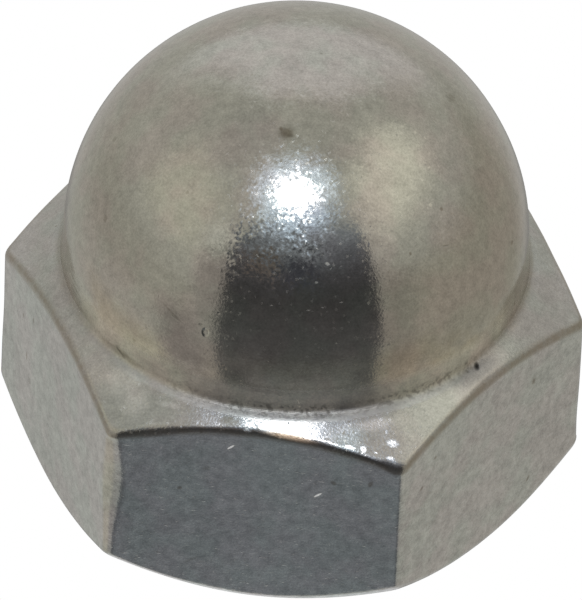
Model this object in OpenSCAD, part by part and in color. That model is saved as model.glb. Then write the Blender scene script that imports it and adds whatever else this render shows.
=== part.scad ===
// Low-crown cap nut for a 1/4-20 stud, turned from hexagon bar.
// Origin: centre of the seat. +Z runs up the thread axis to the top of the crown,
// and two of the hexagon's corners lie on the X axis.

/* [Hexagon] */
// Width across the flats
across_flats = 11.11; // [11.05:0.01:11.2]
// Width across the corners, which are turned back a little from the sharp hexagon
across_corners = 12.74; // [12.5:0.01:12.75]
// Height from the seat to the foot of the crown, where wall and shoulder would meet
hexagon_h = 5.23; // [5:0.01:5.6]
// Slope of the shoulder cone that cuts the flats into arcs, below the horizontal
shoulder_slope = 34; // [28:1:40]

/* [Seat] */
// Diameter of the flat seat, inside the lower chamfer
seat_d = 10.52; // [10:0.01:10.8]
// Slope of the lower chamfer, above the horizontal
seat_slope = 38; // [28:1:42]

/* [Crown] */
// Radius of the round crown
crown_r = 5.07; // [4.9:0.01:5.08]
// Radius of the wall under the crown, at its foot
foot_r = 5.11; // [5.1:0.01:5.2]
// Height of the tapered wall, from its foot to the start of the round
wall_h = 0.66; // [0.5:0.01:0.9]
// Radius of the hollow in the neck between wall and shoulder
neck_r = 0.4; // [0.2:0.05:0.5]

/* [Tapped hole] */
// Diameter of the hole at the crests of the thread
bore_d = 5.1; // [4.98:0.01:5.26]
// Depth of the full diameter
bore_depth = 8; // [7:0.1:8.2]
// Diameter of the countersink at the seat
countersink_d = 6.6; // [6.4:0.05:7.2]
// Included angle of the countersink
countersink_angle = 120; // [90:5:120]
// Included angle of the drill's point
drill_angle = 118; // [118:1:135]

/* [Hidden] */
$fn = 120;

// How far a cut reaches past the face that it opens
overrun = 0.5;

// Heights at which the two chamfers meet the corners
corner_r = across_corners / 2;
shoulder_corner_z = hexagon_h - (corner_r - foot_r) * tan(shoulder_slope);
seat_corner_z = (corner_r - seat_d / 2) * tan(seat_slope);

// Heights of the crown's centre and of its top
crown_z = hexagon_h + wall_h;
top_z = crown_z + crown_r;

// The neck: the foot of the wall, the direction that the wall takes from it, and
// the direction and half angle of the corner between wall and shoulder
foot = [foot_r, hexagon_h];
wall_angle = atan2(wall_h, crown_r - foot_r);
neck_middle = (wall_angle - shoulder_slope) / 2;
neck_half = (wall_angle + shoulder_slope) / 2;
// Depth that the neck's round dips into the metal on both sides, for a clean edge
neck_dip = 0.002;
// Distance from the foot at which the round leaves wall and shoulder
neck_reach = neck_r / tan(neck_half);

// Depths of the cones at the two ends of the hole
countersink_depth = (countersink_d - bore_d) / 2 / tan(countersink_angle / 2);
point_depth = bore_d / 2 / tan(drill_angle / 2);

// The point at a distance from a start, in a given direction
function along(start, angle, distance) = start + distance * [cos(angle), sin(angle)];

// Half section of the turned form: seat, lower chamfer, corner, shoulder, neck, wall, crown
module turned_profile() {
    difference() {
        union() {
            polygon([
                [0, 0], [seat_d / 2, 0], [corner_r, seat_corner_z], [corner_r, shoulder_corner_z],
                along(foot, -shoulder_slope, neck_reach), along(foot, wall_angle, neck_reach),
                [crown_r, crown_z], [0, crown_z]
            ]);
            // The crown's round is drawn from inside the wall, so that the two are one
            translate([0, crown_z]) intersection() {
                circle(crown_r);
                translate([0, -wall_h]) square([crown_r, wall_h + crown_r]);
            }
        }
        translate(along(foot, neck_middle, (neck_r - neck_dip) / sin(neck_half))) circle(neck_r);
    }
}

// Hexagon bar, taller than the nut
module hexagon_bar() {
    translate([0, 0, -overrun])
        linear_extrude(height = top_z + 2 * overrun)
            circle(r = across_flats / 2 / cos(30), $fn = 6);
}

// Blind hole: countersunk mouth, wall at the crests of the thread, drill point
module tapped_hole() {
    mouth_r = countersink_d / 2 + overrun * tan(countersink_angle / 2);
    rotate_extrude()
        polygon([
            [0, -overrun], [mouth_r, -overrun], [bore_d / 2, countersink_depth],
            [bore_d / 2, bore_depth], [0, bore_depth + point_depth]
        ]);
}

module cap_nut() {
    color([0.60, 0.59, 0.55])
        difference() {
            intersection() {
                rotate_extrude() turned_profile();
                hexagon_bar();
            }
            tapped_hole();
        }
}

cap_nut();
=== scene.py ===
"""A low-crown cap nut in satin nickel, standing on its seat in a white light tent."""

import math
from types import SimpleNamespace

import bmesh
import bpy
import numpy as np
from mathutils import Matrix, Vector


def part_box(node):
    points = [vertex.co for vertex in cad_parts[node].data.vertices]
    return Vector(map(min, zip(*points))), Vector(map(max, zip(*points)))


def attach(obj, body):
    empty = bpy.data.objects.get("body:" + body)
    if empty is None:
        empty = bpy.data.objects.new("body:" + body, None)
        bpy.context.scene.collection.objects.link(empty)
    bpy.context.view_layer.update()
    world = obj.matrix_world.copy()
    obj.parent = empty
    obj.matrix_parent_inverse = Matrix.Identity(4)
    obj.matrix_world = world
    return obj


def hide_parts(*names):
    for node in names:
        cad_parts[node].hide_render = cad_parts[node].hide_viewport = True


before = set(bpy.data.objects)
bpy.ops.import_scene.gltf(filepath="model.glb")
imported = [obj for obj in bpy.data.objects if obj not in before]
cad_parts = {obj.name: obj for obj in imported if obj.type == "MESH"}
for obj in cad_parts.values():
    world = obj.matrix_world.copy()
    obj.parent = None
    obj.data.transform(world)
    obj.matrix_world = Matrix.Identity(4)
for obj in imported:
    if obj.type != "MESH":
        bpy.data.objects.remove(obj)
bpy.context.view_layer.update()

# ---------------------------------------------------------------- sizes, in millimetres
MM = 0.001
low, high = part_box("cap_nut")
FLAT_R = (high[1] - low[1]) / 2 / MM
TOP_Z = high[2] / MM

# The turned form, as in the part's source
SEAT_R = 5.26
SEAT_SLOPE = math.radians(38)
SHOULDER_SLOPE = math.radians(34)
FOOT_R = 5.11
HEXAGON_H = 5.23
CROWN_R = 5.07
CROWN_Z = TOP_Z - CROWN_R

# Rounds on the edges
CORNER_ROUND = 0.32
SEAT_EDGE_ROUND = 0.1
LOWER_ROUND = 0.17
SHOULDER_ROUND = 0.24
NECK_ROUND = 0.22
# The lower edge is rounder at the six corners: by how much, and how far round that reaches
LOWER_ROUND_AT_CORNERS = 0.10
CORNER_WEAR_REACH = 0.13
# Two rounds vary along their edges: the share by which they do, the seed, and the waves in a turn
LOWER_UNEVEN = (0.5, 6, (2, 5, 11))
SHOULDER_UNEVEN = (0.2, 4, (7, 13, 29))
# Bruised corners, whose round is wider over a stretch: corner, counted from +X, height of the
# stretch's middle, how far it reaches, and how much it adds
BRUISES = [
    (4, 3.1, 1.1, 0.42),
    (0, 1.6, 0.8, 0.15),
    (1, 3.6, 0.7, 0.2),
    (2, 2.2, 0.9, 0.18),
    (3, 3.0, 0.8, 0.12),
]
# Stretches of the shoulder's edge that are rounder: direction in degrees from +X, how far the
# stretch reaches, and how much it adds
BLUNTED = [(247.5, 4.5, 0.16), (298.5, 2.0, 0.20)]
# Where the hexagon's outline is taken for its chamfers: this far from its lower and upper end
OUTLINE_INSET = 0.5

# What the turning tool left: a narrow, flatter land on the shoulder round the neck, and fine
# ridges on the collar under the crown, by height
LAND_HEIGHT = 0.028
LAND_WIDTH = 0.17
RIDGES = [5.56, 5.68, 5.83]
RIDGE_HEIGHT = 0.0015
RIDGE_WIDTH = 0.03

# The slight unevenness of the surface: wavelength and slope in radians, for each layer. It is
# stronger on the shoulder, and fades towards the seat
RIPPLES = [(2.4, 0.004), (0.75, 0.006)]
RIPPLE_WAVES = 24
SHOULDER_RIPPLE = 3.0
SHOULDER_RIPPLE_FADE = 0.1
RIPPLE_RISE = 0.6

# The tapped hole: 1/4-20 thread, right-hand
BORE_R = 2.55
BORE_DEPTH = 8.0
DRILL_HALF_ANGLE = math.radians(59)
MOUTH_R = 3.3
MOUTH_ROUND = 0.06
COUNTERSINK_DEPTH = (MOUTH_R - BORE_R) / math.tan(math.radians(60))
PITCH = 1.27
THREAD_MAJOR_R = 3.175
THREAD_FULL_DEPTH = 6.35
THREAD_RUNOUT = 0.7
# The outer surface ends and the hole's begins in the seat, at these radii
SEAT_INNER_R = MOUTH_R + 0.25
HOLE_OUTER_R = MOUTH_R + 0.2

# How finely the surface is cut up: columns round the nut, of which the hole takes every third,
# and steps along it. Guard rows and columns lie close beside a round, so that its smooth shading
# doesn't reach past it
SIDES = 6
SECTOR = 2 * math.pi / SIDES
FLAT_COLUMNS = 48
CORNER_COLUMNS = 17
CORNER_REACH = 0.065
CORNER_GUARD = 1.2 * CORNER_REACH
BORE_COLUMNS_SHARE = 3
GUARD = 0.03
SEAT_STEPS = 4
SEAT_EDGE_STEPS = 3
LOWER_ROUND_STEPS = 6
WALL_STEPS = 24
SHOULDER_ROUND_STEPS = 8
SHOULDER_STEPS = 9
NECK_ROUND_STEPS = 6
COLLAR_STEPS = 24
CROWN_ROWS = 84
MOUTH_ROUND_STEPS = 4
COUNTERSINK_ROWS = 9
ROWS_PER_PITCH = 18
PLAIN_BORE_ROWS = 4
DRILL_POINT_SHARES = (0.02, 0.25, 0.5, 0.75, 0.95)
# What the mesh's attributes say in the hole, where they don't count
FAR_BELOW = -9


# ---------------------------------------------------------------- geometry helpers
def unit(v):
    """Vectors of length one."""
    return v / np.linalg.norm(v, axis=-1, keepdims=True)


def smoothstep(x):
    """0 below 0, 1 above 1, and a smooth ramp between."""
    x = np.clip(x, 0, 1)
    return x * x * (3 - 2 * x)


def bell(x, middle, reach):
    """1 at a middle value, and less and less away from it."""
    return np.exp(-(((x - middle) / reach) ** 2))


def row_at(angles, radius, height):
    """One row of (radius, height) over all directions."""
    one = np.ones_like(angles)
    return np.stack([radius * one, height * one], axis=-1)


def rounded(before, corner, after, radius, steps):
    """Points of the arc that rounds a corner between two straight runs."""
    to_before, to_after = unit(before - corner), unit(after - corner)
    half = np.arccos(np.sum(to_before * to_after, axis=-1)) / 2
    radius = radius * np.ones(len(half))
    reach = (radius / np.tan(half))[:, None]
    centre = corner + unit(to_before + to_after) * (radius / np.sin(half))[:, None]
    start = corner + to_before * reach - centre
    end = corner + to_after * reach - centre
    turn = math.pi - 2 * half
    points = []
    for step in range(steps + 1):
        t = step / steps
        from_start = (np.sin((1 - t) * turn) / np.sin(turn))[:, None]
        from_end = (np.sin(t * turn) / np.sin(turn))[:, None]
        points.append(centre + start * from_start + end * from_end)
    return points


def straight(start, end, steps):
    """Points between two ends, without them: even steps, and one guard point close to each end."""
    length = np.linalg.norm(end - start, axis=-1, keepdims=True)
    near = GUARD / length
    shares = [near + (1 - 2 * near) * step / steps for step in range(steps + 1)]
    return [start + (end - start) * share for share in shares]


def outline_angles():
    """Directions of the grid's columns: even on each flat, close together round each corner."""
    across_corner = np.linspace(-CORNER_REACH, CORNER_REACH, CORNER_COLUMNS + 1)
    along_flat = np.linspace(CORNER_GUARD, SECTOR - CORNER_GUARD, FLAT_COLUMNS)
    one_side = np.concatenate([across_corner, along_flat])
    return np.concatenate([one_side + side * SECTOR for side in range(SIDES)])


def angle_from_corner(angles):
    """Angle between each direction and that of the nearest corner."""
    return np.abs((angles + SECTOR / 2) % SECTOR - SECTOR / 2)


def corner_round(angles, height):
    """Radius of the round on the nearest upright corner, at a height."""
    corner = np.round(angles / SECTOR) % SIDES
    radius = CORNER_ROUND * np.ones_like(angles)
    for bruised, middle, reach, extra in BRUISES:
        radius += np.where(corner == bruised, extra * bell(height, middle, reach), 0)
    return radius


def outline_radius(angles, height):
    """Distance of the rounded hexagon's outline from the axis, in each direction, at a height."""
    rounding = corner_round(angles, height)
    from_corner = angle_from_corner(angles)
    flat = FLAT_R / np.cos(SECTOR / 2 - from_corner)
    centre = (FLAT_R - rounding) / math.cos(SECTOR / 2)
    inside = rounding**2 - (centre * np.sin(from_corner)) ** 2
    corner = centre * np.cos(from_corner) + np.sqrt(np.maximum(inside, 0))
    tangent = np.arctan2(rounding * math.sin(SECTOR / 2), centre + rounding * math.cos(SECTOR / 2))
    return np.where(from_corner < tangent, corner, flat)


def uneven(angles, share, seed, waves):
    """A smooth factor round the nut, about 1, for edges that no tool leaves quite even."""
    draw = np.random.default_rng(seed)
    total = np.zeros_like(angles)
    for wave in waves:
        total += np.sin(wave * angles + draw.uniform(0, 2 * math.pi)) / len(waves)
    return 1 + share * total


def outer_rows(angles):
    """Rows of (radius, height) from the seat's inner edge to just under the top of the crown.

    Also gives the numbers of the rows that run along the shoulder's edge and along the neck.
    """
    low_outline = outline_radius(angles, OUTLINE_INSET)
    high_outline = outline_radius(angles, HEXAGON_H - OUTLINE_INSET)
    inner = row_at(angles, SEAT_INNER_R, 0)
    seat = row_at(angles, SEAT_R, 0)
    lower = row_at(angles, low_outline, (low_outline - SEAT_R) * math.tan(SEAT_SLOPE))
    drop = (high_outline - FOOT_R) * math.tan(SHOULDER_SLOPE)
    shoulder = row_at(angles, high_outline, HEXAGON_H - drop)
    foot = row_at(angles, FOOT_R, HEXAGON_H)
    crown_start = row_at(angles, CROWN_R, CROWN_Z)

    lower_round = LOWER_ROUND * uneven(angles, *LOWER_UNEVEN)
    lower_round += LOWER_ROUND_AT_CORNERS * bell(angle_from_corner(angles), 0, CORNER_WEAR_REACH)
    shoulder_round = SHOULDER_ROUND * uneven(angles, *SHOULDER_UNEVEN)
    for middle, reach, extra in BLUNTED:
        shoulder_round += extra * bell(np.degrees(angles), middle, reach)
    seat_arc = rounded(inner, seat, lower, SEAT_EDGE_ROUND, SEAT_EDGE_STEPS)
    lower_arc = rounded(seat, lower, shoulder, lower_round, LOWER_ROUND_STEPS)
    shoulder_arc = rounded(lower, shoulder, foot, shoulder_round, SHOULDER_ROUND_STEPS)
    neck_arc = rounded(shoulder, foot, crown_start, NECK_ROUND, NECK_ROUND_STEPS)

    wall = straight(lower_arc[-1], shoulder_arc[0], WALL_STEPS)
    for row in wall:
        row[:, 0] = outline_radius(angles, row[:, 1])
    turned = shoulder_arc + straight(shoulder_arc[-1], neck_arc[0], SHOULDER_STEPS) + neck_arc
    for row in turned:
        out = np.maximum(row[:, 0] - FOOT_R, 0) / LAND_WIDTH
        row[:, 1] += LAND_HEIGHT * out * np.exp(1 - out)
    collar = straight(neck_arc[-1], crown_start, COLLAR_STEPS)[:-1]
    for row in collar:
        for ridge in RIDGES:
            row[:, 0] += RIDGE_HEIGHT * bell(row[:, 1], ridge, RIDGE_WIDTH)

    rows = [inner] + straight(inner, seat_arc[0], SEAT_STEPS)[1:] + seat_arc
    rows += straight(seat_arc[-1], lower_arc[0], SEAT_STEPS) + lower_arc + wall
    edge_row = len(rows) + len(shoulder_arc) // 2
    neck_row = len(rows) + len(turned) - len(neck_arc) // 2 - 1
    rows += turned + collar
    for step in range(CROWN_ROWS):
        turn = math.pi / 2 * step / CROWN_ROWS
        height = CROWN_Z + CROWN_R * math.sin(turn)
        rows.append(row_at(angles, CROWN_R * math.cos(turn), height))
    return rows, edge_row, neck_row


def thread_radius(angles, height):
    """Radius of the internal thread's flank, crest or root at a height, in each direction."""
    phase = (height / PITCH + angles / (2 * math.pi)) % 1
    from_root = np.abs(phase - 0.5) * PITCH
    root_half, crest_half = PITCH / 16, PITCH / 8
    fall = (from_root - root_half) / (PITCH / 2 - root_half - crest_half)
    depth = (THREAD_MAJOR_R - BORE_R) * (1 - np.clip(fall, 0, 1))
    fade = 1 - smoothstep((height - THREAD_FULL_DEPTH) / THREAD_RUNOUT)
    return BORE_R + depth * fade


def bore_rows(angles):
    """Rows of (radius, height) from the seat's inner edge up the tapped hole to the drill point."""
    inner = row_at(angles, HOLE_OUTER_R, 0)
    mouth = row_at(angles, MOUTH_R, 0)
    cone_end = row_at(angles, BORE_R, COUNTERSINK_DEPTH)
    rows = [inner] + rounded(inner, mouth, cone_end, MOUTH_ROUND, MOUTH_ROUND_STEPS)
    start = rows[-1][0, 1]
    thread_end = THREAD_FULL_DEPTH + THREAD_RUNOUT
    heights = list(np.linspace(start, COUNTERSINK_DEPTH, COUNTERSINK_ROWS)[1:])
    heights += list(np.arange(COUNTERSINK_DEPTH, thread_end, PITCH / ROWS_PER_PITCH)[1:])
    for height in heights:
        cone = MOUTH_R - height / COUNTERSINK_DEPTH * (MOUTH_R - BORE_R)
        rows.append(row_at(angles, np.maximum(thread_radius(angles, height), cone), height))
    for height in np.linspace(thread_end, BORE_DEPTH, PLAIN_BORE_ROWS):
        rows.append(row_at(angles, BORE_R, height))
    for share in DRILL_POINT_SHARES:
        height = BORE_DEPTH + BORE_R * share / math.tan(DRILL_HALF_ANGLE)
        rows.append(row_at(angles, BORE_R * (1 - share), height))
    return rows


def ring_points(rows, angles):
    """The rows' points in space, row by row."""
    points = []
    for row in rows:
        radius, height = row[:, 0], row[:, 1]
        points.append(np.stack([radius * np.cos(angles), radius * np.sin(angles), height], -1))
    return np.concatenate(points)


def band_faces(first, rows, columns):
    """Quads between neighbouring rows of a closed grid whose points start at an index."""
    faces = []
    for row in range(rows - 1):
        base = first + row * columns
        for column in range(columns):
            beside = (column + 1) % columns
            above = base + columns
            faces.append((base + column, base + beside, above + beside, above + column))
    return faces


def cap_faces(last_row, columns, tip):
    """Triangles from a closed row to one point."""
    return [(last_row + c, last_row + (c + 1) % columns, tip) for c in range(columns)]


def ripple(points, seed, wavelength, slope):
    """A smooth random height that tilts the surface by about the given slope."""
    draw = np.random.default_rng(seed)
    waves = unit(draw.normal(size=(RIPPLE_WAVES, 3))) * 2 * math.pi / wavelength
    phases = draw.uniform(0, 2 * math.pi, RIPPLE_WAVES)
    amplitude = slope * wavelength / (2 * math.pi) * math.sqrt(2 / RIPPLE_WAVES)
    return amplitude * np.sin(points @ waves.T + phases).sum(axis=1)


def along_rows(rows, zero_row):
    """Distance of every grid point along its column from one row, upwards positive."""
    steps = [np.linalg.norm(upper - lower, axis=-1) for lower, upper in zip(rows[:-1], rows[1:])]
    reach = np.cumsum([np.zeros(len(rows[0]))] + steps, axis=0)
    return reach - reach[zero_row]


def nut_mesh():
    """The whole nut as one closed mesh, with each point's distance from the edge and the neck."""
    outer_angles = outline_angles()
    columns = len(outer_angles)
    outer, edge_row, neck_row = outer_rows(outer_angles)
    bore_angles = outer_angles[::BORE_COLUMNS_SHARE]
    bore_columns = len(bore_angles)
    bore = bore_rows(bore_angles)

    outer_points = ring_points(outer, outer_angles)
    crown_tip = len(outer_points)
    bore_first = crown_tip + 1
    bore_points = ring_points(bore, bore_angles)
    drill_tip = bore_first + len(bore_points)
    drill_z = BORE_DEPTH + BORE_R / math.tan(DRILL_HALF_ANGLE)
    points = np.concatenate([outer_points, [[0, 0, TOP_Z]], bore_points, [[0, 0, drill_z]]])

    faces = band_faces(0, len(outer), columns)
    faces += cap_faces(columns * (len(outer) - 1), columns, crown_tip)
    faces += band_faces(bore_first, len(bore), bore_columns)
    faces += cap_faces(bore_first + bore_columns * (len(bore) - 1), bore_columns, drill_tip)
    # The seat's fine inner row joins the bore's coarser first row
    for column in range(bore_columns):
        near, beside = bore_first + column, bore_first + (column + 1) % bore_columns
        first = column * BORE_COLUMNS_SHARE
        outer_run = [(first + k) % columns for k in range(BORE_COLUMNS_SHARE + 1)]
        for start, end in zip(outer_run[:-1], outer_run[1:]):
            faces.append((start, end, near))
        faces.append((outer_run[-1], beside, near))

    mesh = bpy.data.meshes.new("nickel_cap_nut")
    mesh.from_pydata((points * MM).tolist(), [], faces)
    work = bmesh.new()
    work.from_mesh(mesh)
    bmesh.ops.recalc_face_normals(work, faces=work.faces)
    work.to_mesh(mesh)
    work.free()

    from_edge = along_rows(outer, edge_row).ravel()
    from_neck = along_rows(outer, neck_row).ravel()
    # The crown's tip goes with its last row, and the bore counts as far below both
    below = FAR_BELOW * np.ones(len(points) - crown_tip - 1)
    from_edge = np.concatenate([from_edge, from_edge[-1:], below])
    from_neck = np.concatenate([from_neck, from_neck[-1:], below])
    for name, values in (("from_edge", from_edge), ("from_neck", from_neck)):
        mesh.attributes.new(name, "FLOAT", "POINT").data.foreach_set("value", values)

    normals = np.empty(3 * len(points))
    mesh.vertex_normals.foreach_get("vector", normals)
    lift = sum(ripple(points, seed, *layer) for seed, layer in enumerate(RIPPLES))
    on_shoulder = smoothstep(from_edge / SHOULDER_RIPPLE_FADE)
    on_shoulder = on_shoulder * smoothstep(-from_neck / SHOULDER_RIPPLE_FADE)
    lift *= smoothstep(points[:, 2] / RIPPLE_RISE) * (1 + (SHOULDER_RIPPLE - 1) * on_shoulder)
    lift[bore_first:] = 0
    points += normals.reshape(-1, 3) * lift[:, None]
    mesh.vertices.foreach_set("co", (points * MM).ravel())
    mesh.polygons.foreach_set("use_smooth", [True] * len(mesh.polygons))
    mesh.update()
    return mesh


# ---------------------------------------------------------------- shader helpers
class Nodes:
    """Adds nodes to a tree and joins them, so that a material reads as a sum."""

    def __init__(self, tree):
        self.tree = tree
        tree.nodes.clear()

    def add(self, kind, inputs=None, **settings):
        node = self.tree.nodes.new(kind)
        for name, value in settings.items():
            setattr(node, name, value)
        for key, value in (inputs or {}).items():
            self.feed(node.inputs[key], value)
        return node

    def feed(self, socket, value):
        """Joins an output to a socket, or sets the socket's own value."""
        if isinstance(value, bpy.types.NodeSocket):
            self.tree.links.new(value, socket)
        elif socket.type == "RGBA":
            socket.default_value = (*value, 1)
        else:
            socket.default_value = value

    def math(self, operation, *values):
        return self.add("ShaderNodeMath", dict(enumerate(values)), operation=operation).outputs[0]

    def product(self, *values):
        """All the values multiplied."""
        result = values[0]
        for value in values[1:]:
            result = self.math("MULTIPLY", result, value)
        return result

    def vector(self, operation, *values):
        node = self.add("ShaderNodeVectorMath", dict(enumerate(values)), operation=operation)
        return node.outputs["Value" if operation == "DOT_PRODUCT" else "Vector"]

    def scaled(self, colour, factor):
        inputs = {0: colour, "Scale": factor}
        return self.add("ShaderNodeVectorMath", inputs, operation="SCALE").outputs[0]

    def ramp(self, value, start, end, first=0.0, last=1.0, smooth=True):
        """One result up to the start, the other from the end on, and a ramp between."""
        limits = {"From Min": start, "From Max": end, "To Min": first, "To Max": last}
        inputs = {"Value": value, **limits}
        kind = "SMOOTHSTEP" if smooth else "LINEAR"
        return self.add("ShaderNodeMapRange", inputs, interpolation_type=kind).outputs["Result"]

    def between(self, value, rise, fall):
        """1 between two ramps and 0 outside them."""
        return self.math("MULTIPLY", self.ramp(value, *rise), self.ramp(value, *fall, 1, 0))

    def near(self, value, middle, full, end, rest=0.0):
        """1 up to a distance from a middle value, and the rest from a larger distance on."""
        away = self.math("ABSOLUTE", self.math("SUBTRACT", value, middle))
        return self.ramp(away, full, end, 1, rest)

    def mix(self, share, first, second, kind="RGBA", sockets=(6, 7, 2)):
        """The first colour where the share is 0, and the second where it is 1."""
        first_input, second_input, output = sockets
        inputs = {0: share, first_input: first, second_input: second}
        return self.add("ShaderNodeMix", inputs, data_type=kind).outputs[output]

    def mix_vector(self, share, first, second):
        return self.mix(share, first, second, "VECTOR", (4, 5, 1))

    def mix_value(self, share, first, second):
        return self.mix(share, first, second, "FLOAT", (2, 3, 0))

    def noise(self, place, size, detail=2.0, roughness=0.5, output="Fac"):
        """Random clouds of a size in millimetres."""
        scale = 1 / (size * MM)
        inputs = {"Vector": place, "Scale": scale, "Detail": detail, "Roughness": roughness}
        return self.add("ShaderNodeTexNoise", inputs).outputs[output]

    def swing(self, noise, amount, around):
        """A value that a noise moves up and down."""
        return self.math("MULTIPLY_ADD", self.math("SUBTRACT", noise, 0.5), amount, around)


# ---------------------------------------------------------------- material
# The nickel's colour on the shoulder, the crown and the flats; the collar is the foot of the crown
SHOULDER_COLOUR = (0.600, 0.590, 0.560)
CROWN_COLOUR = (0.600, 0.573, 0.515)
# A paler colour for the collar, used in front alone: a painted reflection of the shoulder's highlight
COLLAR_PAINTED_REFLECTION = (0.790, 0.750, 0.660)
FLATS_COLOUR = (0.695, 0.700, 0.690)
# The two tints that it shifts between
HUES = ((1.02, 0.985, 0.985), (0.985, 1.01, 0.985))
# What the warm film and the painted shade in the neck leave of the colour, and the colours of the
# painted shade on the land, of the specks and of tarnish
FILM_LEAVES = (0.97, 0.92, 0.85)
SHADE_LEAVES = (0.66, 0.62, 0.56)
LAND_PAINTED_SHADE = (0.200, 0.198, 0.196)
SPECK_COLOUR = (0.14, 0.125, 0.11)
TARNISH_COLOUR = (0.34, 0.275, 0.195)

# The noises: size in millimetres, detail, roughness, and for some how they are squeezed
CLOUD = (1.7, 3)
TINT = (1.1, 2)
MOTTLE = (0.22, 3, 0.6)
GRAIN = (0.05, 2, 0.6)
STREAKS = (0.20, 2)
STREAK_SQUEEZE = (0.3, 1, 1)
BLOTS = (0.11, 1)
BLOTCHES = (0.14, 3, 0.6)
BLOTCH_SQUEEZE = (1, 1, 1.5)
DASHES = (0.14, 1)
DASH_SQUEEZE = (1, 1, 3)
WAVES = (0.085, 1)
SCUFF_PATCHES = (0.45, 2)

# How strongly they change the colour. A pair of values is for off and on the flats
CLOUD_SWING = 0.30
MOTTLE_SWING = (0.50, 0.85)
GRAIN_SWING = 0.60
STREAK_SWING = 0.22

# Regions by the distance from the neck or from the shoulder's edge, in millimetres: where each
# fades in, and where it fades out
CROWN_START = (0.02, 0.12)
COLLAR = ((-0.10, 0.05), (0.35, 0.95))
HOLLOW = ((-0.30, -0.12), (0.25, 0.75))
LAND = ((-0.42, -0.12), (-0.06, 0.04))
FILM = ((0.35, 0.70), (1.0, 1.7))
FLATS_END = (-0.22, -0.10)
# The front fades out towards the back, along a line that the cloud noise shifts
FRONT_END = (-4.6 * MM, -2.0 * MM)
FRONT_SHIFT = -12 * MM
# Where the grime of the neck lies, from left to right
MIDDLE = ((-1.7 * MM, -0.7 * MM), (2.2 * MM, 3.4 * MM))
FILM_START = (-1.6 * MM, -0.6 * MM)
SPECKS_START = (-2.6 * MM, -1.2 * MM)
SPECKS_PALER = (2.4 * MM, 3.4 * MM, 1, 0.80)
# Lines of painted shade along the neck, of specks along it and of tarnish along the edge, in
# millimetres: place, and the distances to where they are full and where they end
SHADE_LINE = (-0.02, 0.0, 0.20)
SPECK_LINE = (0.03, 0.06, 0.22)
TARNISH_LINE = (-0.02, 0.03, 0.20)
# Ramps over a noise that make something patchy: start, end, and the results there
HUE_PATCHES = (0.38, 0.62)
SHADE_PATCHES = (0.35, 0.65, 0.25, 0.60)
LAND_PATCHES = (0.35, 0.65, 0.48, 0.84)
SPECK_PATCHES = (0.46, 0.64, 0.04, 0.60)
TARNISH_PATCHES = (0.35, 0.60, 0.20, 0.50)
# How much of the painted brown shade is left in the middle of the front, and how much mottle goes
# into the land's patches and grain into the specks'
SHADE_AT_MIDDLE = 0.2
LAND_MOTTLE = 0.8
SPECK_GRAIN = 0.25

# Heights of the grain on each part, and of the flats' blotches and dashes, in metres
SHOULDER_GRAIN = 3.6e-6
CROWN_GRAIN = 1.8e-6
FLATS_GRAIN = 2e-6
BLOTCH_HEIGHT = 5e-6
DASH_HEIGHT = 2e-6
DASH_CUT = (0.70, 0.80)

# Facets that sparkle: their size in millimetres, and how far they lean on each part, on the
# crown by height. A power of chance lets a few lean a lot: what it adds at most, and the least
FACET_SIZE = 0.050
SHOULDER_LEAN = 0.12
CROWN_LEAN = (7.4 * MM, 9.6 * MM, 0.055, 0.10)
FLATS_LEAN = 0.03
LEAN_POWER = 5
LEAN_RANGE = (1.3, 0.15)
LEAN_PATCHES = (0.40, 0.62, 0.4, 1.2)
# Scuffs at the front of the crown, whose waves break up the lamp's reflection: across, by height,
# patchy, and how far they tilt the surface by height
SCUFFS_ACROSS = (0.1 * MM, 0.7 * MM, 1.5 * MM, 0.06)
SCUFFS_WEAKER = (9.2 * MM, 9.9 * MM, 1, 0.45)
SCUFFS_PATCHY = (0.40, 0.60, 0.55, 1.8)
SCUFFS_LEAN = (7.4 * MM, 9.2 * MM, 0.02, 0.20)

# Roughness of each part, in the hollow of the neck behind and in front, and of the dull facets,
# off and on the flats
SHOULDER_ROUGHNESS = 0.16
CROWN_ROUGHNESS = 0.115
FLATS_ROUGHNESS = 0.20
HOLLOW_ROUGHNESS = (0.26, 0.50)
MOTTLE_ROUGHNESS = 0.08
DULL_FACETS = (0.965, 0.990)
DULL_ROUGHNESS = (0.20, 0.05)

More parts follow.
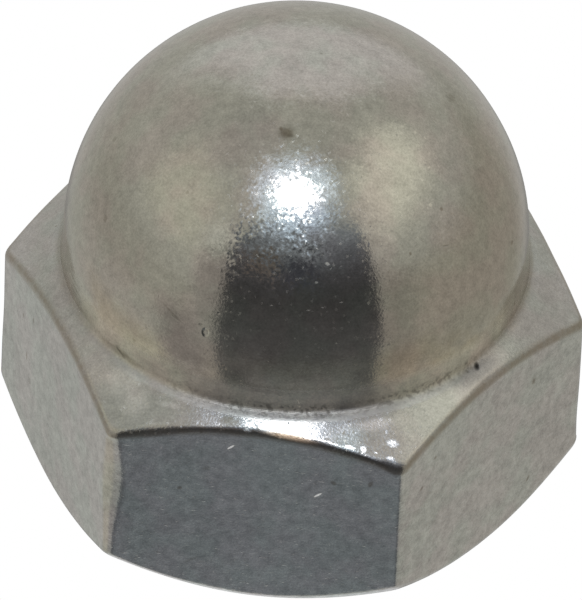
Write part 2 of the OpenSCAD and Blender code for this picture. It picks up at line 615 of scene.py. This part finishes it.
# Marks on the surface, in millimetres: kind, where, which way it runs, half width, half length
UPRIGHT = (0, 0, 1)
MARKS = [
    # On the crown
    ("stain", (-0.06, -2.05, 10.52), (1, 0, 0), 0.24, 0.26),
    ("spot", (-0.06, -2.06, 10.52), (1, 0, 0), 0.14, 0.18),
    ("stain", (0.03, -2.11, 10.50), (1, 0.2, 0.1), 0.06, 0.12),
    ("spot", (-0.19, -1.99, 10.55), (0.1, -0.5, 0.2), 0.05, 0.10),
    ("spot", (3.39, -2.16, 8.99), UPRIGHT, 0.055, 0.065),
    ("spot", (2.88, -3.22, 8.54), UPRIGHT, 0.040, 0.060),
    ("pit", (3.58, -2.60, 8.35), (0.5, 0.6, -0.3), 0.03, 0.12),
    ("spot", (4.82, -0.90, 7.18), (0.2, 1, 0), 0.06, 0.09),
    ("stain", (4.87, -0.93, 6.95), UPRIGHT, 0.04, 0.25),
    ("stain", (3.18, 0.57, 9.80), (0.3, 1, 0), 0.14, 0.22),
    ("stain", (-3.85, -2.60, 7.92), UPRIGHT, 0.09, 0.11),
    ("stain", (-3.91, -1.12, 8.91), UPRIGHT, 0.08, 0.10),
    ("stain", (-2.03, -3.08, 9.37), UPRIGHT, 0.05, 0.06),
    ("stain", (-2.92, -4.14, 5.90), (1, 0, 0), 0.06, 0.08),
    ("stain", (4.80, -0.73, 7.35), UPRIGHT, 0.03, 0.07),
    ("spot", (4.96, -1.10, 5.62), UPRIGHT, 0.05, 0.07),
    ("stain", (0.35, 0.19, 10.94), (1, 0, 0), 0.04, 0.05),
    ("pit", (-2.42, -4.22, 7.31), UPRIGHT, 0.025, 0.06),
    ("stain", (2.48, -3.67, 8.35), UPRIGHT, 0.03, 0.04),
    ("dimple", (-1.30, -4.79, 6.95), UPRIGHT, 0.10, 0.13),
    ("pit", (-1.36, -4.77, 6.95), UPRIGHT, 0.03, 0.08),
    ("pit", (-1.42, -4.72, 7.10), (1, -0.3, 0.4), 0.04, 0.06),
    ("pit", (-2.03, -4.50, 7.03), (0.85, -0.43, -0.3), 0.02, 0.20),
    ("stain", (-2.08, -4.45, 7.10), (0.59, -0.36, -0.31), 0.035, 0.40),
    # Dull flecks on the front of the crown
    ("fleck", (0.09, -4.67, 7.85), (1, 0, 0.1), 0.022, 0.06),
    ("fleck", (0.89, -4.61, 7.79), (1, 0.2, 0.1), 0.022, 0.07),
    ("fleck", (1.18, -4.52, 7.84), (1, 0.2, -0.1), 0.022, 0.05),
    ("fleck", (1.57, -4.37, 7.92), (1, 0.3, 0.1), 0.022, 0.06),
    ("fleck", (1.19, -4.05, 8.69), (1, 0.3, -0.5), 0.05, 0.08),
    ("fleck", (1.00, -4.32, 8.35), (1, 0.3, 0), 0.04, 0.05),
    ("fleck", (0.65, -4.86, 7.16), (1, 0, 0), 0.025, 0.03),
    ("fleck", (0.12, -5.02, 6.55), (1, 0, 0), 0.025, 0.03),
    ("fleck", (1.54, -4.70, 7.02), (1, 0, 0), 0.025, 0.03),
    # Round the neck
    ("pit", (-3.24, -3.95, 5.33), (0.7, -0.6, -0.4), 0.04, 0.24),
    ("stain", (-3.20, -3.97, 5.38), (0.75, -0.62, -0.1), 0.09, 0.36),
    # Painted shade on the shoulder at the foot of the neck, at the front right
    ("painted_neck_shade", (4.36, -2.98, 5.12), (0.56, 0.83, 0), 0.27, 0.85),
    # This long stain along the foot of the neck on the left is painted shade
    ("stain", (-3.21, -3.96, 5.31), (0.77, -0.64, 0), 0.10, 0.95),
    ("hole", (4.39, -2.79, 5.17), (-0.1, 0.82, 0.35), 0.085, 0.13),
    ("stain", (-4.56, -2.60, 5.13), (1, 0, 0), 0.05, 0.07),
    ("spot", (-5.28, 0.14, 5.12), (1, 0, 0), 0.04, 0.05),
    ("haze", (3.24, -4.07, 5.12), (0.78, 0.62, 0), 0.13, 0.75),
    ("pit", (4.22, -3.00, 5.18), UPRIGHT, 0.06, 0.09),
    # On the shoulder: nicks that catch the lamp, hazy patches, and its edge where it is worn and a
    # warmer metal shows, made brighter under the lamp's reflection as a painted highlight
    ("nick", (1.50, -5.49, 4.84), (1, 0, -0.12), 0.06, 0.35),
    ("nick", (2.03, -5.44, 4.76), (1, 0, -0.1), 0.05, 0.15),
    ("nick", (2.32, -5.40, 4.71), UPRIGHT, 0.09, 0.10),
    ("nick", (2.60, -5.39, 4.65), (1, 0, 0), 0.03, 0.07),
    ("nick", (2.91, -5.40, 4.54), (1, 0, 0), 0.06, 0.13),
    ("nick", (2.91, -5.10, 4.71), (1, 0, 0), 0.12, 0.20),
    ("haze", (-3.02, -4.59, 4.97), (0.84, -0.55, 0), 0.38, 0.70),
    ("haze", (-2.75, -5.02, 4.82), (1, 0.2, -0.1), 0.26, 0.55),
    ("haze", (-1.95, -5.08, 4.99), (1, -0.2, 0), 0.10, 0.45),
    ("haze", (2.50, -4.88, 5.00), (1, 0.45, -0.05), 0.19, 0.50),
    ("turned", (-0.58, -5.39, 5.03), (1, 0, 0), 0.16, 0.34),
    ("turned", (-0.02, -5.43, 5.01), (0.23, -0.20, -0.14), 0.035, 0.17),
    ("worn", (-0.21, -5.54, 4.94), (1, 0, 0), 0.08, 0.13),
    ("worn", (0.60, -5.55, 4.94), (1, 0, -0.07), 0.12, 0.80),
    ("rub_and_painted_highlight", (0.72, -5.57, 4.91), (1, 0, -0.10), 0.11, 0.95),
    # On the flats
    ("scratch", (-0.55, -5.55, 4.43), (1, 0, 0.9), 0.03, 0.12),
    ("scratch", (1.39, -5.55, 3.37), (1, 0, 0.8), 0.03, 0.14),
    ("spot", (1.72, -5.55, 3.77), (1, 0, -0.6), 0.07, 0.10),
    ("spot", (2.52, -5.55, 3.86), (0.4, 0, 1), 0.07, 0.12),
    ("spot", (-1.63, -5.55, 3.09), (1, 0, 0.5), 0.06, 0.08),
    ("stain", (-1.05, -5.55, 3.75), (1, 0, 0.2), 0.08, 0.11),
    ("stain", (-1.32, -5.55, 1.05), (1, 0, 0.7), 0.05, 0.25),
    ("spot", (-5.63, -1.36, 2.60), UPRIGHT, 0.05, 0.17),
    ("spot", (-5.47, -1.63, 3.89), UPRIGHT, 0.05, 0.10),
    ("spot", (-5.76, -1.13, 3.56), UPRIGHT, 0.04, 0.09),
    ("stain", (-5.52, -1.54, 2.06), UPRIGHT, 0.10, 0.12),
    ("stain", (5.52, -1.55, 3.88), UPRIGHT, 0.13, 0.18),
    ("spot", (5.52, -1.55, 3.86), UPRIGHT, 0.07, 0.09),
    ("spot", (5.50, -1.57, 1.05), (0.1, 0.17, 0.25), 0.06, 0.12),
    ("spot", (3.79, -4.54, 3.96), (0.5, 0.87, 0), 0.06, 0.065),
    ("spot", (3.57, -4.93, 3.37), (0.5, 0.87, 0.6), 0.05, 0.09),
]
# How much each kind of mark leaves of the colour, its depth as a share of its half width, how
# it tilts the surface, and how much rougher it is
LEVEL = (0, 0, 0)
UNCHANGED = (1, 1, 1)
MARK_KINDS = {
    "stain": ((0.80, 0.79, 0.77), 0, LEVEL, 0),
    "spot": ((0.64, 0.60, 0.56), 0, LEVEL, 0),
    # This kind darkens the colour as painted shade, where the neck's shade falls
    "painted_neck_shade": ((0.64, 0.65, 0.67), 0, LEVEL, 0),
    "pit": ((0.70, 0.70, 0.70), 0.08, LEVEL, 0),
    "hole": ((0.08, 0.08, 0.08), 0.15, LEVEL, 0),
    "dimple": (UNCHANGED, 0.16, LEVEL, 0),
    "scratch": ((1.1, 1.1, 1.1), 0, (0, 0, -0.4), 0),
    "nick": ((1.2, 1.2, 1.2), 0, (-0.09, -0.067, -0.03), 0.08),
    "turned": (UNCHANGED, 0, (-0.075, 0.025, 0), 0),
    "fleck": ((1.3, 1.3, 1.3), 0, LEVEL, 0.32),
    "haze": ((1.22, 1.20, 1.21), 0, LEVEL, 0.08),
    "worn": (UNCHANGED, 0, (0, 0.03, 0.19), 0.08),
    # The rub's warm colour is lifted past what metal reflects: worn metal and a painted highlight
    "rub_and_painted_highlight": ((1.9, 1.4, 1.05), 0, LEVEL, 0.35),
}


def marks(n, place):
    """The marks' share of the colour that is left, their height, tilt and added roughness."""
    left, height, tilt, roughening = UNCHANGED, 0.0, LEVEL, 0.0
    for kind, centre, along, half_width, half_length in MARKS:
        kept, depth, lean, rougher = MARK_KINDS[kind]
        away = n.vector("SUBTRACT", place, tuple(c * MM for c in centre))
        squared = n.vector("DOT_PRODUCT", away, away)
        if half_length != half_width:
            # A long mark is a round one that is stretched along its direction
            lengthwise = n.vector("DOT_PRODUCT", away, tuple(Vector(along).normalized()))
            shrink = (half_width / half_length) ** 2 - 1
            squared = n.math("MULTIPLY_ADD", n.product(lengthwise, lengthwise), shrink, squared)
        inside = n.ramp(squared, 0, (half_width * MM) ** 2, 1, 0)
        if kept != UNCHANGED:
            left = n.vector("MULTIPLY", left, n.mix_vector(inside, UNCHANGED, kept))
        if depth > 0:
            height = n.math("MULTIPLY_ADD", inside, -depth * half_width * MM, height)
        if lean != LEVEL:
            tilt = n.vector("ADD", tilt, n.scaled(lean, inside))
        if rougher > 0:
            roughening = n.math("MULTIPLY_ADD", inside, rougher, roughening)
    return left, height, tilt, roughening


def survey(n):
    """What the material knows of a point: its place, the regions that it is in, and its noises."""
    place = n.add("ShaderNodeTexCoord").outputs["Object"]
    from_edge = n.add("ShaderNodeAttribute", attribute_name="from_edge").outputs["Fac"]
    from_neck = n.add("ShaderNodeAttribute", attribute_name="from_neck").outputs["Fac"]
    x, y, z = n.add("ShaderNodeSeparateXYZ", {"Vector": place}).outputs
    cloud = n.noise(place, *CLOUD)
    return SimpleNamespace(
        place=place,
        x=x,
        z=z,
        from_edge=from_edge,
        from_neck=from_neck,
        crown=n.ramp(from_neck, *CROWN_START),
        collar=n.between(from_neck, *COLLAR),
        hollow=n.between(from_neck, *HOLLOW),
        flats=n.ramp(from_edge, *FLATS_END, 1, 0),
        front=n.ramp(n.swing(cloud, FRONT_SHIFT, y), *FRONT_END, 1, 0),
        cloud=cloud,
        mottle=n.noise(place, *MOTTLE),
        grain=n.noise(place, *GRAIN),
    )


def plate_colour(n, here):
    """The plate: a colour for each part, with a painted reflection on the collar in front, cloudy,
    mottled, grained and faintly streaked.
    """
    colour = n.mix(here.crown, SHOULDER_COLOUR, CROWN_COLOUR)
    # In front the collar takes the paler colour of the painted reflection
    colour = n.mix(n.product(here.collar, here.front), colour, COLLAR_PAINTED_REFLECTION)
    colour = n.mix(here.flats, colour, FLATS_COLOUR)
    hue = n.mix(n.ramp(n.noise(here.place, *TINT), *HUE_PATCHES), *HUES)
    colour = n.vector("MULTIPLY", colour, hue)
    strength = n.swing(here.cloud, CLOUD_SWING, 1)
    strength = n.swing(here.mottle, n.mix_value(here.flats, *MOTTLE_SWING), strength)
    strength = n.swing(here.grain, GRAIN_SWING, strength)
    # Polishing left faint streaks that run from left to right over the crown
    streaks = n.noise(n.vector("MULTIPLY", here.place, STREAK_SQUEEZE), *STREAKS)
    strength = n.swing(streaks, n.product(here.crown, STREAK_SWING), strength)
    return n.scaled(colour, strength)


def with_grime_and_painted_shade(n, here, colour):
    """The plate's colour under a warm film, painted brown and grey shade by the neck, dark specks and
    tarnish.
    """
    # A warm film on the foot of the crown, in front
    film = n.product(n.between(here.from_neck, *FILM), here.front, n.ramp(here.x, *FILM_START))
    colour = n.mix(film, colour, n.vector("MULTIPLY", colour, FILM_LEAVES))
    # Painted brown shade along the neck, weaker in the middle of the front
    middle = n.between(here.x, *MIDDLE)
    shade = n.product(n.near(here.from_neck, *SHADE_LINE), n.ramp(here.mottle, *SHADE_PATCHES))
    shade = n.product(shade, n.mix_value(n.product(middle, here.front), 1.0, SHADE_AT_MIDDLE))
    colour = n.mix(shade, colour, n.vector("MULTIPLY", colour, SHADE_LEAVES))
    # Painted grey shade on the land beside it, in the middle of the front alone
    patchy = n.swing(here.mottle, LAND_MOTTLE, here.grain)
    painted_land_shade = n.product(n.between(here.from_neck, *LAND), middle, here.front)
    painted_land_shade = n.product(painted_land_shade, n.ramp(patchy, *LAND_PATCHES))
    colour = n.mix(painted_land_shade, colour, LAND_PAINTED_SHADE)
    # Dark specks along the front of the neck
    blots = n.swing(here.grain, SPECK_GRAIN, n.noise(here.place, *BLOTS))
    specks = n.product(n.ramp(blots, *SPECK_PATCHES), n.near(here.from_neck, *SPECK_LINE))
    specks = n.product(specks, n.ramp(here.x, *SPECKS_START), n.ramp(here.x, *SPECKS_PALER))
    colour = n.mix(n.product(specks, here.front), colour, SPECK_COLOUR)
    # A brown line along the shoulder's edge
    tarnish = n.product(n.near(here.from_edge, *TARNISH_LINE), n.ramp(here.mottle, *TARNISH_PATCHES))
    return n.mix(tarnish, colour, TARNISH_COLOUR)


def bumpy_normal(n, here, mark_height):
    """The normal over the fine grain, the flats' blotches and dashes, and the marks' depth."""
    grain_height = n.mix_value(here.crown, SHOULDER_GRAIN, CROWN_GRAIN)
    height = n.product(here.grain, n.mix_value(here.flats, grain_height, FLATS_GRAIN))
    blotches = n.noise(n.vector("MULTIPLY", here.place, BLOTCH_SQUEEZE), *BLOTCHES)
    dashes = n.noise(n.vector("MULTIPLY", here.place, DASH_SQUEEZE), *DASHES)
    rough = n.product(blotches, BLOTCH_HEIGHT)
    rough = n.math("MULTIPLY_ADD", n.ramp(dashes, *DASH_CUT), DASH_HEIGHT, rough)
    height = n.math("MULTIPLY_ADD", here.flats, rough, height)
    height = n.math("ADD", height, mark_height)
    bump = n.add("ShaderNodeBump", {"Height": height, "Distance": 1.0, "Strength": 1.0})
    return bump.outputs["Normal"]


def random_tilt(n, colour, amount):
    """A tilt in a random direction, from a colour that varies about grey."""
    return n.scaled(n.vector("SUBTRACT", colour, (0.5, 0.5, 0.5)), amount)


def facets(n, here):
    """The tilt of the grain's small facets, and one more random number for each facet."""
    facet = n.add("ShaderNodeTexVoronoi", {"Vector": here.place, "Scale": 1 / (FACET_SIZE * MM)})
    draw = n.add("ShaderNodeTexWhiteNoise", {"Vector": facet.outputs["Position"]})
    chance, luck, _ = n.add("ShaderNodeSeparateXYZ", {"Vector": draw.outputs["Color"]}).outputs
    lean = n.mix_value(here.crown, SHOULDER_LEAN, n.ramp(here.z, *CROWN_LEAN))
    lean = n.mix_value(here.flats, lean, FLATS_LEAN)
    few_lean_far = n.math("MULTIPLY_ADD", n.math("POWER", chance, LEAN_POWER), *LEAN_RANGE)
    lean = n.product(lean, few_lean_far, n.ramp(here.mottle, *LEAN_PATCHES))
    return random_tilt(n, facet.outputs["Color"], lean), luck


def scuffs(n, here):
    """The tilt of the waves in the crown's scuffs."""
    waves = n.noise(here.place, *WAVES, output="Color")
    strength = n.product(n.near(here.x, *SCUFFS_ACROSS), n.ramp(here.z, *SCUFFS_WEAKER))
    patches = n.ramp(n.noise(here.place, *SCUFF_PATCHES), *SCUFFS_PATCHY)
    strength = n.product(strength, patches, here.crown, n.ramp(here.z, *SCUFFS_LEAN))
    return random_tilt(n, waves, strength)


def roughness_of(n, here, luck):
    """Roughness by part, mottled, with some dull facets."""
    roughness = n.mix_value(here.flats, SHOULDER_ROUGHNESS, FLATS_ROUGHNESS)
    roughness = n.mix_value(here.crown, roughness, CROWN_ROUGHNESS)
    in_hollow = n.mix_value(here.front, *HOLLOW_ROUGHNESS)
    roughness = n.swing(here.mottle, MOTTLE_ROUGHNESS, n.mix_value(here.hollow, roughness, in_hollow))
    dull = n.ramp(luck, *DULL_FACETS, 0, n.mix_value(here.flats, *DULL_ROUGHNESS))
    return n.math("ADD", roughness, dull)


def satin_nickel():
    """Nickel plate over a finely grained surface, with specks and painted shade in the neck, and
    tarnish along the edges.
    """
    material = bpy.data.materials.new("satin_nickel")
    material.use_nodes = True
    n = Nodes(material.node_tree)
    here = survey(n)
    mark_left, mark_height, mark_tilt, mark_roughness = marks(n, here.place)
    colour = n.vector("MULTIPLY", plate_colour(n, here), mark_left)
    tilt, luck = facets(n, here)
    tilt = n.vector("ADD", tilt, scuffs(n, here))
    tilt = n.vector("ADD", tilt, mark_tilt)
    normal = n.vector("ADD", bumpy_normal(n, here, mark_height), tilt)
    shader = n.add(
        "ShaderNodeBsdfPrincipled",
        {
            "Base Color": with_grime_and_painted_shade(n, here, colour),
            "Metallic": 1.0,
            "Roughness": n.math("ADD", roughness_of(n, here, luck), mark_roughness),
            "Normal": n.vector("NORMALIZE", normal),
        },
    )
    n.add("ShaderNodeOutputMaterial", {"Surface": shader.outputs[0]})
    return material


def pale_floor():
    """White floor that glows, as a light table does, so that it shows no shadow.

    From below it is clear, so that the seat and the tapped hole can be looked at.
    """
    material = bpy.data.materials.new("pale_floor")
    material.use_nodes = True
    n = Nodes(material.node_tree)
    glow = n.add("ShaderNodeEmission", {"Color": (1, 1, 1), "Strength": 1.0})
    below = n.add("ShaderNodeNewGeometry").outputs["Backfacing"]
    clear = n.add("ShaderNodeBsdfTransparent")
    shader = n.add("ShaderNodeMixShader", {0: below, 1: glow.outputs[0], 2: clear.outputs[0]})
    n.add("ShaderNodeOutputMaterial", {"Surface": shader.outputs[0]})
    return material


# ---------------------------------------------------------------- camera
CAMERA_AZIMUTH = 6.8
CAMERA_ELEVATION = 41.15
CAMERA_ROLL = 2.57
CAMERA_DISTANCE = 509 * MM
# Sensor width in millimetres, and the nearest and furthest that the camera sees, in metres
SENSOR_WIDTH = 36
CLIP_RANGE = (0.01, 10)
# What the frame's longer side spans at the nut, and where on the axis the camera aims
FRAME_SPAN = 13.075 * MM
AIM = Vector((0, 0, 3.97 * MM))
AIM_SHIFT = -0.047 * MM


def direction(azimuth, elevation):
    """Unit vector that points from the nut to an azimuth and elevation in degrees."""
    turn, rise = math.radians(azimuth), math.radians(elevation)
    return Vector((math.sin(turn) * math.cos(rise), -math.cos(turn) * math.cos(rise), math.sin(rise)))


def make_camera():
    """A long lens that looks down on the nut, tilted a little to one side."""
    data = bpy.data.cameras.new("camera")
    camera = bpy.data.objects.new("camera", data)
    bpy.context.collection.objects.link(camera)
    back = direction(CAMERA_AZIMUTH, CAMERA_ELEVATION)
    right = Vector((0, 0, 1)).cross(back).normalized()
    up = back.cross(right)
    roll = math.radians(CAMERA_ROLL)
    tilted_right = right * math.cos(roll) + up * math.sin(roll)
    tilted_up = up * math.cos(roll) - right * math.sin(roll)
    turned = Matrix((tilted_right, tilted_up, back)).transposed().to_4x4()
    eye = AIM + tilted_right * AIM_SHIFT + back * CAMERA_DISTANCE
    camera.matrix_world = Matrix.Translation(eye) @ turned
    data.sensor_width = SENSOR_WIDTH
    data.lens = SENSOR_WIDTH * CAMERA_DISTANCE / FRAME_SPAN
    data.clip_start, data.clip_end = CLIP_RANGE
    bpy.context.scene.camera = camera


# ---------------------------------------------------------------- light
# The tent, by azimuth from the camera's and elevation, in degrees. Each soft-edged rectangle
# has its middle, half size and half width of the edge, and its radiance
TENT = (0.43, 0.427, 0.402)
PATCHES = [
    ("upper left", (-100, 70), (36, 12), (16, 8), (0.39, 0.387, 0.37)),
    ("back wall", (180, 36.5), (34, 28.5), (14, 9), (0.625, 0.635, 0.645)),
    ("behind, low", (180, -16), (30, 22), (14, 12), (0.475, 0.47, 0.45)),
    ("right panel", (82, 45), (31, 15.5), (15, 11), (0.745, 0.73, 0.66)),
    ("right, low", (92, -18), (50, 26), (16, 10), (0.352, 0.335, 0.297)),
    ("beside the opening, right", (51, -14), (8, 26), (6, 12), (0.27, 0.26, 0.235)),
    ("left, under", (-88, -44), (26, 12), (8, 6), (0.43, 0.405, 0.345)),
    ("left panel", (-76, 30), (24, 16), (14, 9), (0.555, 0.545, 0.485)),
    ("left, low", (-84, -8), (50, 12), (14, 8), (0.395, 0.385, 0.355)),
    ("left of the arch", (-46, 27), (5, 6), (5, 5), (0.62, 0.62, 0.59)),
    ("left foot", (-51, -28), (13, 15), (6, 7), (0.256, 0.244, 0.234)),
    ("beside the opening, left", (-41, -4), (7, 24), (4, 8), (0.31, 0.30, 0.285)),
    ("behind, under", (180, -48), (30, 12), (12, 5), (0.25, 0.245, 0.235)),
    ("under", (0, -90), (180, 24), (1, 5), (0.68, 0.69, 0.70)),
]
# The dark opening at the front, and what is seen through it from its foot to its top
OPENING = ((3.2, -6), (38.2, 47), (2.5, 5))
THROUGH_OPENING = [
    (-50, (0.190, 0.208, 0.226)),
    (-40, (0.172, 0.188, 0.203)),
    (-24, (0.092, 0.094, 0.098)),
    (8, (0.056, 0.058, 0.061)),
    (20, (0.074, 0.078, 0.088)),
    (30, (0.135, 0.148, 0.172)),
    (36, (0.210, 0.232, 0.270)),
]
# The opening's arched top, paler still
ARCH = ((5, 43), (26, 9), (10, 3))
ARCH_RADIANCE = (0.300, 0.325, 0.370)
# A pale sheen on what is seen just under the lamp
SHEEN = ((0, 31), (14, 10), (10, 8))
SHEEN_RADIANCE = (0.044, 0.047, 0.053)
# Single things in the opening, in the form of the tent's rectangles
IN_OPENING = [
    ("post, left", (-27, -44), (7, 10), (4, 4), (0.095, 0.100, 0.110)),
    ("post, right", (36, -44), (6, 10), (4, 4), (0.095, 0.100, 0.110)),
    ("warm, under the lamp", (-18, 24), (8, 4.5), (6, 3.5), (0.150, 0.132, 0.120)),
    ("cold, under the lamp", (3, 22), (9, 6), (6, 4), (0.055, 0.060, 0.076)),
]
# The lamp above it: direction, angular radius, half width of its edge, and its halo
LAMP = (-3, 60.3)
LAMP_RADIUS = 8.0
LAMP_EDGE = 2.0
LAMP_RADIANCE = (9.0, 9.3, 9.6)
HALO_REACH = (6, 26)
HALO_RADIANCE = (0.60, 0.80, 1.12)
# What the camera sees behind the nut
BACKDROP = (1.0, 1.0, 1.0)

# The floor: how far it lies below the seat, and how many of the nut's widths it reaches
FLOOR_GAP = 0.005 * MM
FLOOR_REACH = 40


def make_world():
    """A light tent: pale walls all round, a dark opening at the front, a bright lamp above it.

    The camera sees a plain white backdrop instead.
    """
    world = bpy.data.worlds.new("light_tent")
    bpy.context.scene.world = world
    world.use_nodes = True
    n = Nodes(world.node_tree)
    way = n.add("ShaderNodeTexCoord").outputs["Generated"]
    x, y, z = n.add("ShaderNodeSeparateXYZ", {"Vector": way}).outputs
    # Turn about the vertical so that azimuth 0 is the front, where the opening is
    front = math.radians(CAMERA_AZIMUTH)
    side = n.math("MULTIPLY_ADD", x, math.cos(front), n.product(y, math.sin(front)))
    ahead = n.math("MULTIPLY_ADD", x, math.sin(front), n.product(y, -math.cos(front)))
    azimuth = n.math("DEGREES", n.math("ARCTAN2", side, ahead))
    elevation = n.math("DEGREES", n.math("ARCSINE", z))

    def share_of(middle, half, edge):
        across = n.math("PINGPONG", n.math("SUBTRACT", azimuth, middle[0]), 180)
        along = n.math("ABSOLUTE", n.math("SUBTRACT", elevation, middle[1]))
        return n.product(
            n.ramp(across, half[0] - edge[0], half[0] + edge[0], 1, 0),
            n.ramp(along, half[1] - edge[1], half[1] + edge[1], 1, 0),
        )

    colour = TENT
    for _, middle, half, edge, radiance in PATCHES:
        colour = n.mix(share_of(middle, half, edge), colour, radiance)

    (lower, beyond), *higher = THROUGH_OPENING
    for upper, radiance in higher:
        beyond = n.mix(n.ramp(elevation, lower, upper, smooth=False), beyond, radiance)
        lower = upper
    colour = n.mix(share_of(*ARCH), colour, ARCH_RADIANCE)
    colour = n.mix(share_of(*OPENING), colour, beyond)
    colour = n.vector("ADD", colour, n.scaled(SHEEN_RADIANCE, share_of(*SHEEN)))
    for _, middle, half, edge, radiance in IN_OPENING:
        colour = n.mix(share_of(middle, half, edge), colour, radiance)

    to_lamp = direction(LAMP[0] + CAMERA_AZIMUTH, LAMP[1])
    cosine = n.vector("DOT_PRODUCT", way, tuple(to_lamp))
    from_lamp = n.math("DEGREES", n.math("ARCCOSINE", cosine))
    halo = n.scaled(HALO_RADIANCE, n.ramp(from_lamp, *HALO_REACH, 1, 0))
    colour = n.vector("ADD", colour, halo)
    in_lamp = n.ramp(from_lamp, LAMP_RADIUS - LAMP_EDGE, LAMP_RADIUS + LAMP_EDGE, 1, 0)
    colour = n.mix(in_lamp, colour, LAMP_RADIANCE)

    camera_ray = n.add("ShaderNodeLightPath").outputs["Is Camera Ray"]
    shown = n.mix(camera_ray, colour, BACKDROP)
    background = n.add("ShaderNodeBackground", {"Color": shown, "Strength": 1.0})
    n.add("ShaderNodeOutputWorld", {"Surface": background.outputs[0]})


def make_floor():
    """A wide plane just under the seat."""
    half = FLOOR_REACH * (high[0] - low[0])
    level = low[2] - FLOOR_GAP
    corners = [(-half, -half), (half, -half), (half, half), (-half, half)]
    mesh = bpy.data.meshes.new("floor")
    mesh.from_pydata([(*corner, level) for corner in corners], [], [(0, 1, 2, 3)])
    floor = bpy.data.objects.new("floor", mesh)
    bpy.context.collection.objects.link(floor)
    mesh.materials.append(pale_floor())
    floor.visible_glossy = False


# ---------------------------------------------------------------- the scene
make_camera()
make_world()
make_floor()
bpy.context.scene.view_settings.view_transform = "Standard"

nut = bpy.data.objects.new("nickel_cap_nut", nut_mesh())
bpy.context.collection.objects.link(nut)
nut.data.materials.append(satin_nickel())
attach(nut, "root")
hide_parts("cap_nut")
